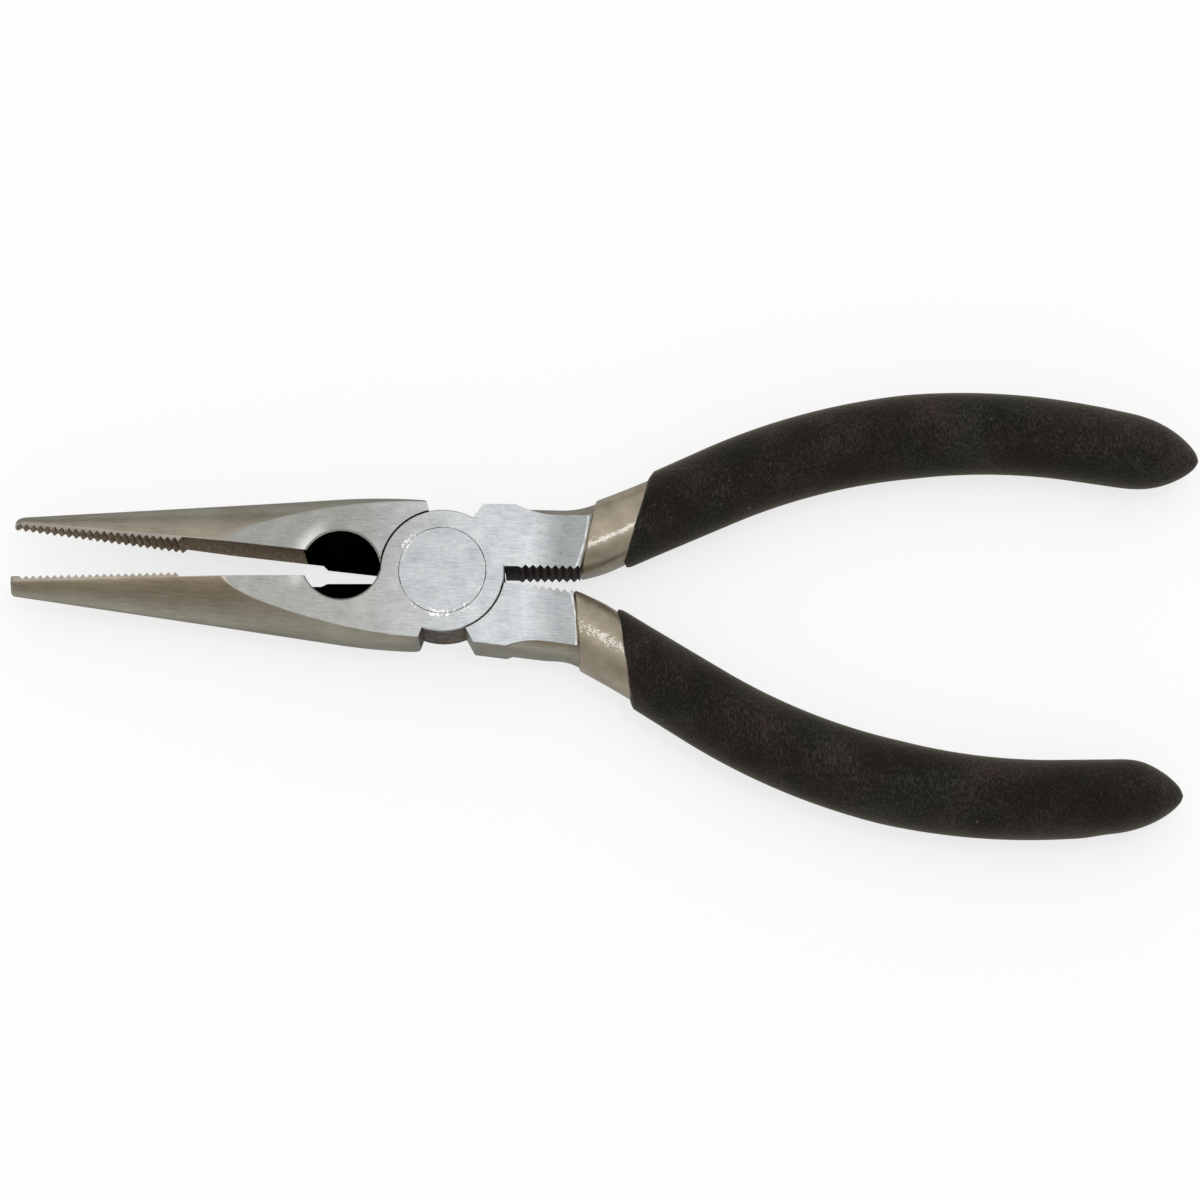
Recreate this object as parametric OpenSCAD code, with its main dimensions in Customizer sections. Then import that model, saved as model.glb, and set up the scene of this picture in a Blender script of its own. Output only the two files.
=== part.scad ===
// Long-nose fishing pliers: two forged halves crossed in a lap joint on one flush rivet,
// with a side cutter, a crimping gap behind the rivet, and handles dipped in an undercoat and a grip.
// The rivet's axis is +Z through the origin, the jaws point along -X and the handles along +X.
// z = 0 is the back face of the joint, on which the tool lies.

/* [Joint] */
// Thickness of the joint, cheek to cheek
joint_t = 10; // [9.5:0.1:12]
// Radius of the round lap of each half
lap_r = 8.6; // [8:0.1:9.5]
// Break on the outer rim of the lap
lap_break = 0.16; // [0.05:0.01:0.3]
// Gap between a lap and the shoulder that it turns in
shoulder_gap = 0.25; // [0.15:0.05:0.4]
// Gap between the faces of the two laps
lap_gap = 0.1; // [0.06:0.02:0.3]
// Opening between the jaws as the tool lies, in degrees
rest_opening = 6.6; // [0:0.1:40]
// Where each jaw ends at the lap, in degrees from square to the jaw
jaw_stop_angle = 19.2; // [14:0.1:24]
// Where each handle starts at the lap, in degrees from square to the handle
handle_stop_angle = 29.3; // [25:0.1:34]
// Lean of the jaws' stop faces, in degrees
jaw_stop_lean = 21; // [19:1:40]
// Lean of the handles' stop faces, in degrees
handle_stop_lean = 36; // [25:1:45]

/* [Rivet] */
// Radius of the rivet's shank
rivet_r = 3.5; // [2.5:0.1:4.5]
// Radius of the rivet's countersunk heads
rivet_head_r = 6.05; // [5.5:0.05:7]
// Depth of each countersunk head
rivet_head_h = 2.6; // [2:0.1:3.5]
// Height of the straight land at the rim of each head, which leaves the fine ring round it
rivet_land = 0.14; // [0.05:0.01:0.3]
// Running clearance round the rivet
rivet_fit = 0.05; // [0.02:0.01:0.1]

/* [Jaws] */
// Rivet to jaw tip
jaw_len = 60.2; // [52:0.1:70]
// Depth of the front jaw at its tip
front_tip_depth = 2.6; // [1.8:0.1:3.5]
// Depth of the back jaw at its tip
back_tip_depth = 1.6; // [1.4:0.1:3.5]
// Depth of each jaw at the joint
jaw_root_depth = 10.4; // [10:0.05:12]
// Distance from the rivet at which the straight taper would reach the root depth
taper_reach = 8.6; // [6:0.1:12]
// Radius that blends the taper into the root
taper_blend_r = 85; // [40:5:120]
// Thickness of the jaws at the tip
tip_t = 3.4; // [2.6:0.1:5]
// Length over which the front jaw's tip is rounded off
front_tip_round = 0.5; // [0.3:0.1:2]
// Length over which the back jaw's tip is rounded off
back_tip_round = 1.2; // [0.3:0.1:2]
// Radius of each jaw's outer corner at its stop face
jaw_corner_r = 1.2; // [0.2:0.1:1.6]
// How far that corner is set in from the jaw's root depth
jaw_corner_inset = 0.35; // [0:0.05:0.5]
// Width of the rolled inner edges of the jaws
edge_roll_w = 1.0; // [0.7:0.1:1.2]
// How much a rolled edge takes off the jaw's thickness
edge_roll_t = 0.3; // [0.1:0.05:0.4]
// Distance from the rivet at which the round jaw runs out into the flat cheek
cheek_start = 30.5; // [25:0.1:35]
// How fast the round swells past that point
cheek_swell = 0.026; // [0.01:0.002:0.04]
// Gap left between the jaws when they are shut
shut_gap = 0.1; // [0.04:0.02:0.3]
// Distance from the tip to the front jaw's first tooth
front_tooth_start = 1.2; // [0.1:0.1:1.5]
// Distance from the tip to the back jaw's first tooth
back_tooth_start = 0.2; // [0.1:0.1:1.5]
// Pitch of the jaw teeth
tooth_pitch = 1.0; // [0.8:0.05:1.5]
// Depth of the jaw teeth
tooth_depth = 0.5; // [0.3:0.05:0.6]
// Distance from the tip to the end of the jaw teeth
tooth_end = 23.2; // [15:0.1:26]
// Depth to which the plain stretch behind the teeth is relieved
plain_relief = 0.65; // [0.3:0.05:0.8]

/* [Cutter] */
// Distance from the rivet to the middle of the cutter recess
recess_x = 14; // [13.6:0.1:15]
// Distance of the recess's centre across the jaw line
recess_offset = 1.5; // [1:0.1:2]
// Radius of the cutter recess
recess_r = 5.5; // [5:0.1:6]
// Radius added by the break on the rim of the recess
recess_rim = 0.25; // [0.1:0.05:0.5]
// Distance from the rivet to the blunt end of the blades
blade_start = 17.2; // [15.5:0.1:17.8]
// Length over which the blunt end slopes up to the cutting edge
blade_rise = 0.8; // [0.4:0.1:1.5]
// Height of the cutting edge above the back face
edge_z = 0.8; // [0.5:0.1:1.5]
// Angle between the blade's ground face and the cutting direction, in degrees
blade_angle = 30; // [25:1:40]
// Depth of the bevel under the cutting edge
blade_back = 0.3; // [0.1:0.05:0.5]

/* [Neck] */
// Distance of the cheek's outer edge from the jaw line
cheek_y = 9.45; // [9.2:0.05:10.5]
// Distance from the rivet to the lowest point of the neck
neck_x = 15.7; // [15:0.1:17]
// Height of the neck's lowest point above the jaw line
neck_low = 8.05; // [7.2:0.05:8.3]
// Radius of the hollow of the neck
neck_hollow_r = 12; // [8:0.1:14]
// Where the neck starts to be ground lower than the cheek
dish_start = 12; // [10:0.5:14]
// Depth of the ground neck below the cheek at its end
dish_depth = 0.42; // [0.4:0.02:0.6]
// Height of the crimping teeth's tips above the jaw line
crimp_gap = 0.4; // [0.3:0.05:1]
// Depth of the crimping teeth
crimp_depth = 0.5; // [0.3:0.05:0.7]
// Pitch of the crimping teeth
crimp_pitch = 1.03; // [0.9:0.01:1.5]
// Number of crimping teeth
crimp_count = 8; // [4:1:8]
// Distance from the rivet to the first crimping tooth
crimp_start = 11; // [10:0.1:11.5]

/* [Handles] */
// Distance of the shank's middle line from the jaw line, in the neck
neck_y = 4.75; // [4.7:0.05:5]
// Width of the shank in the neck
neck_w = 8.2; // [8:0.1:8.6]
// Width of the shank at the edge of the undercoat
shank_w = 9.0; // [8.6:0.1:9.4]
// Distance from the rivet at which the shank starts to turn outwards
turn_start = 15.9; // [14:0.1:17]
// Radius of that turn
turn_r = 16; // [12:0.5:22]
// Angle of the shank to the jaw line, in degrees
shank_angle = 24.5; // [20:0.1:28]
// Length of the straight shank
shank_run = 17.3; // [12:0.1:20]
// Radius of the bow of the handle
bow_r = 88; // [75:1:120]
// Angle at which the handle ends, turned back inwards, in degrees
end_angle = 9; // [3:0.5:14]
// Length of the straight end of the handle, to the tip of the grip
end_run = 17.2; // [12:0.1:26]
// Set of the front handle, in degrees outwards
front_set = -0.6; // [-2:0.1:2]
// Set of the back handle, in degrees outwards
back_set = 0.8; // [-2:0.1:2]
// Width of the shank where the grip starts
shank_lip_w = 8.6; // [8:0.1:9]
// Thickness of the shank where the grip starts
shank_lip_t = 8; // [7.4:0.1:8.4]
// Width of the tang at its end
tang_end_w = 6; // [5:0.1:7]
// Thickness of the tang at its end
tang_end_t = 5; // [4:0.1:6]
// Fullness of the shank's section at the neck, which eases to a plain oval under the grip
neck_fullness = 3.4; // [2.5:0.1:5]

/* [Undercoat] */
// Distance from the rivet to the edge of the undercoat, on the handle's middle line
coat_start = 19.9; // [18.5:0.1:21]
// Slant of the undercoat's edge, in degrees
coat_slant = 11.5; // [5:0.5:18]
// Thickness of the undercoat
coat_t = 0.35; // [0.2:0.05:0.4]
// Clearance between the steel and its undercoat
coat_fit = 0.03; // [0.02:0.01:0.05]
// How much nearer to the rivet the back handle's dips start
back_dip_lead = 0.65; // [0:0.05:1.2]

/* [Grips] */
// Distance along the handle from the start of the shank to the lip of the grip
lip_s = 19; // [16:0.5:22]
// Slant of the lip, in degrees
lip_slant = 15; // [5:1:20]
// Width of the grip at its lip
grip_lip_w = 11; // [10.6:0.1:12]
// Width of the grip at its middle
grip_w = 11.9; // [10.6:0.1:14]
// Width of the grip where its nose starts
grip_end_w = 10.8; // [10:0.1:13]
// Thickness of the grip
grip_t = 10; // [9.8:0.1:12]
// Length of the rounded nose of the grip
nose_len = 11; // [6:0.5:14]
// How far short of a point the nose ends
nose_blunt = 0.6; // [0.2:0.1:1.5]
// Length over which that blunt end is rounded
nose_round = 0.5; // [0.2:0.1:1]
// How far the tang stops short of the tip of the grip
tang_short = 6.8; // [5:0.1:14]
// Clearance between the undercoat and the grip
grip_fit = 0.05; // [0.02:0.01:0.1]

/* [Hidden] */
$fn = 96;

half_t = joint_t / 2;
shoulder_r = lap_r + shoulder_gap;
head_slope = (rivet_head_r - rivet_r) / rivet_head_h;
land_r = rivet_head_r - head_slope * rivet_land;
over = 1;
degree = 180 / PI;
steel_colour = "#b4b4b0";
plated_colour = "#928a7a";
coat_colour = "#908678";
grip_colour = "#2a2522";

// Number of points round half a jaw, round a handle, and of rings along the jaw's round
jaw_sides = 20;
handle_sides = 20;
jaw_steps = 18;
// Steps round a jaw's outer corner, and the angle at which it has run out into the jaw's edge
corner_steps = 6;
corner_end = 80;
handle_step = 3;

// The jaw's line where its inner face shuts
shut_y = -shut_gap / 2;
taper_slope_run = jaw_len - taper_reach;
// Share of its depth that a tip loses at its end, per mm that it is rounded over
tip_fall = 1 / 3;

// Length of each stretch of the handle's middle line
neck_run = turn_start - lap_r;
turn_run = turn_r * shank_angle / degree;
bow_run = bow_r * (shank_angle + end_angle) / degree;
s_turn = neck_run;
s_coat = s_turn + turn_r * asin((coat_start - turn_start) / turn_r) / degree;
s_shank = s_turn + turn_run;
s_bow = s_shank + shank_run;
s_end = s_bow + bow_run;
s_tip = s_end + end_run;
s_tang = s_tip - tang_short;
grip_run_in = 6;
nose_power = 1.4;

function start_of_shank() = [turn_start + turn_r * sin(shank_angle),
                             neck_y + turn_r * (1 - cos(shank_angle))];
function start_of_bow() = start_of_shank() + shank_run * [cos(shank_angle), sin(shank_angle)];
function on_bow(a) = start_of_bow() + bow_r * [sin(shank_angle) - sin(a), cos(a) - cos(shank_angle)];

// Direction and place of the handle's middle line at a distance s along it
function handle_angle(s) =
    s < s_turn ? 0
    : s < s_shank ? (s - s_turn) / turn_r * degree
    : s < s_bow ? shank_angle
    : s < s_end ? shank_angle - (s - s_bow) / bow_r * degree
    : -end_angle;
function handle_point(s) =
    let (a = handle_angle(s))
    s < s_turn ? [lap_r + s, neck_y]
    : s < s_shank ? [turn_start + turn_r * sin(a), neck_y + turn_r * (1 - cos(a))]
    : s < s_bow ? start_of_shank() + (s - s_shank) * [cos(a), sin(a)]
    : s < s_end ? on_bow(a)
    : on_bow(-end_angle) + (s - s_end) * [cos(a), sin(a)];

// Half width and half thickness of the steel and of the grip along the handle
function tang_half_w(s) = lookup(s, [[s_turn, neck_w / 2], [s_coat, shank_w / 2],
                                     [lip_s, shank_lip_w / 2], [s_tang, tang_end_w / 2]]);
function tang_half_t(s) = lookup(s, [[s_turn, half_t - dish_depth], [lip_s, shank_lip_t / 2],
                                     [s_tang, tang_end_t / 2]]);
function tang_fullness(s) = lookup(s, [[s_turn, neck_fullness], [lip_s, 2.4], [s_tang, 2]]);
function nose_share(s) =
    let (left = max(0, s_tip - s))
    let (u = min(1, (left + nose_blunt) / (nose_len + nose_blunt)))
    let (end = min(1, left / nose_round))
    pow(1 - (1 - u) * (1 - u), 1 / nose_power) * sqrt(1 - (1 - end) * (1 - end));
function grip_half_w(s) = nose_share(s) * lookup(s, [[lip_s, grip_lip_w / 2],
                                                     [(lip_s + s_tip) / 2, grip_w / 2],
                                                     [s_tip - nose_len, grip_end_w / 2]]);
function grip_half_t(s) = nose_share(s) * grip_t / 2;

// Depth and half thickness of the rounded jaw at a distance d from the rivet
function taper_slope(tip_depth) = (jaw_root_depth - tip_depth) / taper_slope_run;
function blend_half(tip_depth) = taper_blend_r * tan(atan(taper_slope(tip_depth)) / 2);
function jaw_depth(d, tip_depth) =
    let (h = blend_half(tip_depth))
    d > taper_reach + h ? tip_depth + (jaw_len - d) * taper_slope(tip_depth)
    : d < taper_reach - h ? jaw_root_depth
    : jaw_root_depth - taper_blend_r + sqrt(pow(taper_blend_r, 2) - pow(d - taper_reach + h, 2));
function jaw_half_t(d) =
    tip_t / 2 + (half_t - tip_t / 2) * (jaw_len - d) / (jaw_len - cheek_start)
    + cheek_swell * pow(max(0, cheek_start - d), 1.5);
function tip_share(d, tip_round) =
    let (u = min(1, (jaw_len - d) / tip_round))
    1 - tip_fall * tip_round * (1 - sqrt(1 - (1 - u) * (1 - u)));

// A unit oval of the given fullness, as a list of points
function oval(sides, fullness) = [for (i = [0 : sides - 1])
    let (c = cos(360 * i / sides), s = sin(360 * i / sides))
    [sign(c) * pow(abs(c), 2 / fullness), sign(s) * pow(abs(s), 2 / fullness)]];

// Skins a list of rings that have the same number of points
module loft(rings) {
    n = len(rings[0]);
    last = (len(rings) - 1) * n;
    sides = [for (k = [0 : len(rings) - 2], i = [0 : n - 1])
        let (a = k * n + i, b = k * n + (i + 1) % n)
        each [[a, b + n, b], [a, a + n, b + n]]];
    caps = [[for (i = [0 : n - 1]) i], [for (i = [n - 1 : -1 : 0]) last + i]];
    polyhedron([for (r = rings) each r], concat(sides, caps));
}

// One oval ring of a handle, square to its middle line
function handle_ring(s, w, t, fullness) =
    let (p = handle_point(s), a = handle_angle(s))
    [for (q = oval(handle_sides, fullness)) [p.x - q.x * w * sin(a), p.y + q.x * w * cos(a), q.y * t]];

// The steel of the handle from the neck to the end of the tang, grown all round by extra
module tang(from_s, extra) {
    to_s = s_tang + extra;
    steps = ceil((to_s - from_s) / handle_step);
    loft([for (k = [0 : steps])
        let (s = from_s + (to_s - from_s) * k / steps)
        handle_ring(s, tang_half_w(s) + extra, tang_half_t(s) + extra, tang_fullness(s))]);
}

// What is cut off on the rivet's side of a dip line through the given place
module before_line(place, slant) {
    size = 4 * grip_w;
    translate([place.x, place.y])
        rotate(-slant)
            translate([-size, -size / 2, -size / 2])
                cube(size);
}

// One ring of the round jaw with its rolled inner edges, as depth and height
function jaw_ring(depth, t) =
    let (roll = min(edge_roll_w, depth / 2), start = asin(roll / depth),
         edge = [for (a = [0, 35, 65]) [roll * (1 - cos(a)), t * cos(start) - edge_roll_t * (1 - sin(a))]],
         round = [for (i = [0 : jaw_sides])
             let (a = start + (180 - 2 * start) * i / jaw_sides)
             [depth * sin(a), t * cos(a)]])
    concat(edge, round, [for (i = [len(edge) - 1 : -1 : 0]) [edge[i].x, -edge[i].y]]);

// The round jaw before its cheeks are ground flat
module round_jaw(tip_depth, tip_round) {
    tip_steps = [jaw_len, jaw_len - tip_round * 0.15, jaw_len - tip_round * 0.45];
    long_steps = [for (k = [0 : jaw_steps]) (jaw_len - tip_round) * (1 - k / jaw_steps)];
    loft([for (d = concat(tip_steps, long_steps))
        let (share = tip_share(d, tip_round))
        [for (p = jaw_ring(jaw_depth(d, tip_depth) * share, jaw_half_t(d) * share)) [-d, -p.x, p.y]]]);
}

// A flat shape drawn in plan, cut right through the thickness
module through() {
    linear_extrude(joint_t + 2 * over, center = true) children();
}

// Plan of the jaw, which ends at its stop face beside the lap, with a rounded outer corner
module jaw_plan() {
    stop = shoulder_r * [-sin(jaw_stop_angle), -cos(jaw_stop_angle)];
    reach = jaw_root_depth + over;
    lean = [-sin(jaw_stop_lean), -cos(jaw_stop_lean)];
    inner = stop - lap_r / 3 * lean;
    deep = jaw_root_depth - jaw_corner_inset - jaw_corner_r * (1 - sin(jaw_stop_lean));
    run = (deep + stop.y) / cos(jaw_stop_lean);
    centre = stop + run * lean + jaw_corner_r * [lean.y, -lean.x];
    corner = [for (k = [0 : corner_steps])
        let (a = jaw_stop_lean + (corner_end - jaw_stop_lean) * k / corner_steps)
        centre + jaw_corner_r * [cos(a), -sin(a)]];
    last = corner[corner_steps];
    outer = last - (reach + last.y) * [tan(corner_end), 1];
    polygon(concat([[-jaw_len - over, over], [0, over], [0, -lap_r / 2], inner], corner,
                   [outer, [-jaw_len - over, -reach]]));
}

// Plan of what is cut from the jaw's inner face: the teeth, the plain stretch and the blade's land
module inner_face_cut(tooth_start) {
    count = round((tooth_end - tooth_start) / tooth_pitch);
    first = -jaw_len + tooth_start;
    teeth = [for (i = [0 : count - 1]) each [[first + i * tooth_pitch, shut_y],
                                            [first + (i + 0.5) * tooth_pitch, shut_y - tooth_depth]]];
    plain_start = first + count * tooth_pitch;
    polygon(concat([[-jaw_len - over, over], [-jaw_len - over, shut_y]],
                   teeth,
                   [[plain_start, shut_y], [plain_start + tooth_pitch / 2, shut_y - plain_relief],
                    [-blade_start, shut_y - plain_relief], [-blade_start + blade_rise, shut_y],
                    [0, shut_y], [0, over]]));
}

// The blade left standing in the recess; side is -1 where it lies towards -z and 1 towards +z
module blade(side) {
    edge = half_t - edge_z;
    deep = jaw_root_depth;
    run = recess_x + recess_r + over;
    mirror([0, 0, side > 0 ? 1 : 0])
        rotate([90, 0, 90])
            translate([0, 0, -run])
                linear_extrude(run)
                    polygon([[shut_y, -edge], [shut_y - blade_back, -half_t - over], [-deep, -half_t - over],
                             [-deep, -edge + (deep + shut_y) / tan(blade_angle)]]);
}

// The round recess that the cutter stands in
module cutter_recess(side) {
    difference() {
        translate([-recess_x, recess_offset])
            cylinder(r = recess_r, h = joint_t + 2 * over, center = true);
        blade(side);
    }
    mirror([0, 0, side > 0 ? 1 : 0])
        translate([-recess_x, recess_offset, half_t - recess_rim])
            cylinder(r1 = recess_r, r2 = recess_r + 2 * recess_rim, h = 2 * recess_rim);
}

module jaw(tip_depth, tip_round, tooth_start, side) {
    difference() {
        intersection() {
            round_jaw(tip_depth, tip_round);
            through() jaw_plan();
        }
        through() inner_face_cut(tooth_start);
        cutter_recess(side);
    }
}

// Plan of the cheek behind the lap, from its stop face to the edge of the undercoat
function coat_edge_at(y, lead) = coat_start - lead + (y - neck_y) * tan(coat_slant);
module cheek_plan(lead) {
    stop = shoulder_r * [sin(handle_stop_angle), cos(handle_stop_angle)];
    lean = [sin(handle_stop_lean), cos(handle_stop_lean)];
    outer = stop + (cheek_y - stop.y) / cos(handle_stop_lean) * lean;
    inner = stop - lap_r / 3 * lean;
    difference() {
        polygon([[0, lap_r / 2], [0, crimp_gap], [coat_edge_at(crimp_gap, lead), crimp_gap],
                 [coat_edge_at(cheek_y, lead), cheek_y], outer, inner]);
        hull() for (x = [neck_x, neck_x + neck_hollow_r])
            translate([x, neck_low + neck_hollow_r]) circle(neck_hollow_r);
    }
}

// The shallow ground fall of the neck on one side, down to the shank at the edge of the undercoat
module neck_dish(lead) {
    fall = coat_start - lead - dish_start;
    translate([coat_start - lead, neck_y])
        rotate([90, 0, -coat_slant])
            translate([0, 0, -joint_t])
                linear_extrude(joint_t * 2)
                    polygon([[-fall, half_t], [0, half_t - dish_depth], [over, half_t - dish_depth],
                             [over, joint_t], [-fall, joint_t]]);
}

// Plan of the crimping teeth behind the rivet
module crimp_cut() {
    teeth = [for (i = [0 : crimp_count - 1])
        each [[crimp_start + i * crimp_pitch, crimp_gap],
              [crimp_start + (i + 0.5) * crimp_pitch, crimp_gap + crimp_depth]]];
    polygon(concat([[0, -over], [0, crimp_gap + crimp_depth / 2],
                    [crimp_start - crimp_pitch / 2, crimp_gap + crimp_depth / 2]],
                   teeth,
                   [[crimp_start + crimp_count * crimp_pitch, crimp_gap],
                    [crimp_start + crimp_count * crimp_pitch, -over]]));
}

module handle_steel(lead) {
    difference() {
        union() {
            through() cheek_plan(lead);
            tang(0, 0);
        }
        for (flip = [0, 1]) mirror([0, 0, flip]) neck_dish(lead);
        through() crimp_cut();
    }
}

// The hole for the rivet, with its countersink running out through the lap's outer face
module rivet_hole() {
    translate([0, 0, -over]) cylinder(r = rivet_r + rivet_fit, h = joint_t + over);
    translate([0, 0, half_t - rivet_head_h])
        cylinder(r1 = rivet_r + rivet_fit, r2 = rivet_head_r + rivet_fit + head_slope * over,
                 h = rivet_head_h + over);
}

// What is ground off the front to leave the flat cheeks
module ground_off() {
    size = 4 * jaw_len;
    translate([-size / 2, -size / 2, half_t]) cube([size, size, joint_t]);
}

// The round lap, with its outer rim broken; what stands over the cheek is ground off
module lap() {
    low = half_t - lap_break;
    translate([0, 0, lap_gap / 2]) cylinder(r = lap_r, h = low - lap_gap / 2);
    translate([0, 0, low]) cylinder(r1 = lap_r, r2 = lap_r - 2 * lap_break, h = 2 * lap_break);
}

// One forged half, shut, with its lap towards +z, its jaw towards -y and its handle towards +y
module half(tip_depth, tip_round, tooth_start, set, lead, side) {
    difference() {
        union() {
            difference() {
                union() {
                    jaw(tip_depth, tip_round, tooth_start, side);
                    rotate(set) handle_steel(lead);
                }
                translate([0, 0, lap_gap / 2 - 2 * joint_t]) cylinder(r = shoulder_r, h = 2 * joint_t);
            }
            lap();
        }
        rivet_hole();
        for (flip = [0, 1]) mirror([0, 0, flip]) ground_off();
    }
}

// The thin first dip of one handle, closed over the end of the tang
module undercoat(set, lead) {
    rotate(set)
        difference() {
            tang(s_turn, coat_fit + coat_t);
            tang(0, coat_fit);
            before_line([coat_start - lead + coat_fit, neck_y], coat_slant);
        }
}

// The thick dipped grip of one handle, closed at its tip
module grip(set, lead) {
    body_start = lip_s - grip_run_in;
    body_run = s_tip - nose_len - body_start;
    body_steps = ceil(body_run / handle_step);
    body_s = [for (k = [0 : body_steps - 1]) body_start + body_run * k / body_steps];
    nose_s = [for (u = [1, 0.75, 0.5, 0.3, 0.15, 0.06, 0.015, 0.001]) s_tip - nose_len * u];
    rotate(set)
        difference() {
            loft([for (s = concat(body_s, nose_s)) handle_ring(s, grip_half_w(s), grip_half_t(s), 2)]);
            tang(s_turn, coat_fit + coat_t + grip_fit);
            before_line(handle_point(lip_s - lead), lip_slant);
        }
}

// Places a half or its dips as the tool lies: 1 is the front half and -1 the back half
module as_it_lies(which) {
    translate([0, 0, half_t])
        rotate(which * rest_opening / 2)
            rotate([which > 0 ? 0 : 180, 0, 0])
                children();
}

module front_half() {
    color(plated_colour) as_it_lies(1)
        half(front_tip_depth, front_tip_round, front_tooth_start, front_set, 0, -1);
}

module back_half() {
    color(plated_colour) as_it_lies(-1)
        half(back_tip_depth, back_tip_round, back_tooth_start, back_set, back_dip_lead, 1);
}

module pivot_rivet() {
    color(steel_colour) translate([0, 0, half_t]) {
        cylinder(r = rivet_r, h = joint_t, center = true);
        for (flip = [0, 1]) mirror([0, 0, flip]) translate([0, 0, half_t - rivet_head_h]) {
            cylinder(r1 = rivet_r, r2 = land_r, h = rivet_head_h - rivet_land);
            translate([0, 0, rivet_head_h - rivet_land]) cylinder(r = land_r, h = rivet_land);
        }
    }
}

module front_undercoat() {
    color(coat_colour) as_it_lies(1) undercoat(front_set, 0);
}

module back_undercoat() {
    color(coat_colour) as_it_lies(-1) undercoat(back_set, back_dip_lead);
}

module front_grip() {
    color(grip_colour) as_it_lies(1) grip(front_set, 0);
}

module back_grip() {
    color(grip_colour) as_it_lies(-1) grip(back_set, back_dip_lead);
}

front_half();
back_half();
pivot_rivet();
front_undercoat();
back_undercoat();
front_grip();
back_grip();
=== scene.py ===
import math

import bmesh
import bpy
from mathutils import Matrix, Vector, noise


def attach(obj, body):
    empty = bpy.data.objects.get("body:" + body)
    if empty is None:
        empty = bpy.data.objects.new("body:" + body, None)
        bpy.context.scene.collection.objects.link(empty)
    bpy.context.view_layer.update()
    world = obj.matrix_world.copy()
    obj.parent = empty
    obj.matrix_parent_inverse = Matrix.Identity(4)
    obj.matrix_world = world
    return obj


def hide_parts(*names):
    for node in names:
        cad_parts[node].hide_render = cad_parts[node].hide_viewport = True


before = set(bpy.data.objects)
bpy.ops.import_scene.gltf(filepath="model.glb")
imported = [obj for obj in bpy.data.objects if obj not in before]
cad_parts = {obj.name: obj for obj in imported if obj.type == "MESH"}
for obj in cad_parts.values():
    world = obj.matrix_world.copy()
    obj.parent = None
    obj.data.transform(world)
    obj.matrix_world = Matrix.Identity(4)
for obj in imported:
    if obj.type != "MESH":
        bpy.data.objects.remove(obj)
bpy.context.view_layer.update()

# Sizes in millimetres and degrees, the same ones that the solids are made from. A half is shaped shut,
# with z = 0 in the middle of the joint, its lap towards +z, its jaw towards -y and its handle towards +y.
MM = 0.001
HALF_T = 5.0
LAP_R, LAP_BREAK, LAP_GAP = 8.6, 0.16, 0.1
SHOULDER_R = 8.85
REST_OPENING = 6.6
JAW_STOP, JAW_STOP_LEAN, JAW_CORNER_R, JAW_CORNER_INSET, JAW_CORNER_END = 19.2, 21.0, 1.2, 0.35, 80
HANDLE_STOP, HANDLE_STOP_LEAN = 29.3, 36.0
RIVET_R, RIVET_HEAD_R, RIVET_HEAD_H, RIVET_LAND, RIVET_FIT = 3.5, 6.05, 2.6, 0.14, 0.05
JAW_LEN, JAW_ROOT, TAPER_REACH, TAPER_BLEND = 60.2, 10.4, 8.6, 85.0
TIP_T, CHEEK_START, CHEEK_SWELL, EDGE_ROLL_W, EDGE_ROLL_T = 3.4, 30.5, 0.026, 1.0, 0.3
SHUT_Y, TOOTH_PITCH, TOOTH_DEPTH, TOOTH_END, PLAIN_RELIEF = -0.05, 1.0, 0.5, 23.2, 0.65
FRONT_TOOTH_START, BACK_TOOTH_START = 1.2, 0.2
RECESS_X, RECESS_OFFSET, RECESS_R, RECESS_RIM = 14.0, 1.5, 5.5, 0.25
BLADE_START, BLADE_RISE, EDGE_Z, BLADE_ANGLE, BLADE_BACK = 17.2, 0.8, 0.8, 30.0, 0.3
CHEEK_Y, NECK_X, NECK_LOW, NECK_HOLLOW_R = 9.45, 15.7, 8.05, 12.0
DISH_START, DISH_DEPTH = 12.0, 0.42
CRIMP_GAP, CRIMP_DEPTH, CRIMP_PITCH, CRIMP_COUNT, CRIMP_START = 0.4, 0.5, 1.03, 8, 11.0
NECK_Y, NECK_W, SHANK_W = 4.75, 8.2, 9.0
TURN_START, TURN_R, SHANK_ANGLE, SHANK_RUN = 15.9, 16.0, 24.5, 17.3
BOW_R, END_ANGLE, END_RUN = 88.0, 9.0, 17.2
SHANK_LIP_W, SHANK_LIP_T, TANG_END_W, TANG_END_T = 8.6, 8.0, 6.0, 5.0
NECK_FULLNESS, LIP_FULLNESS, TANG_FULLNESS, GRIP_FULLNESS = 3.4, 2.4, 2.0, 2.0
COAT_START, COAT_SLANT, COAT_T, COAT_FIT = 19.9, 11.5, 0.35, 0.03
LIP_S, LIP_SLANT, GRIP_LIP_W, GRIP_W, GRIP_END_W, GRIP_T = 19.0, 15.0, 11.0, 11.9, 10.8, 10.0
NOSE_LEN, NOSE_POWER, NOSE_ROUND, TANG_SHORT, GRIP_FIT = 11.0, 1.4, 0.5, 6.8, 0.05
FRONT_TIP, FRONT_TIP_ROUND, FRONT_SET = 2.6, 0.5, -0.6
BACK_TIP, BACK_TIP_ROUND, BACK_SET, BACK_DIP_LEAD = 1.6, 1.2, 0.8, 0.65
OVER = 1

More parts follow.
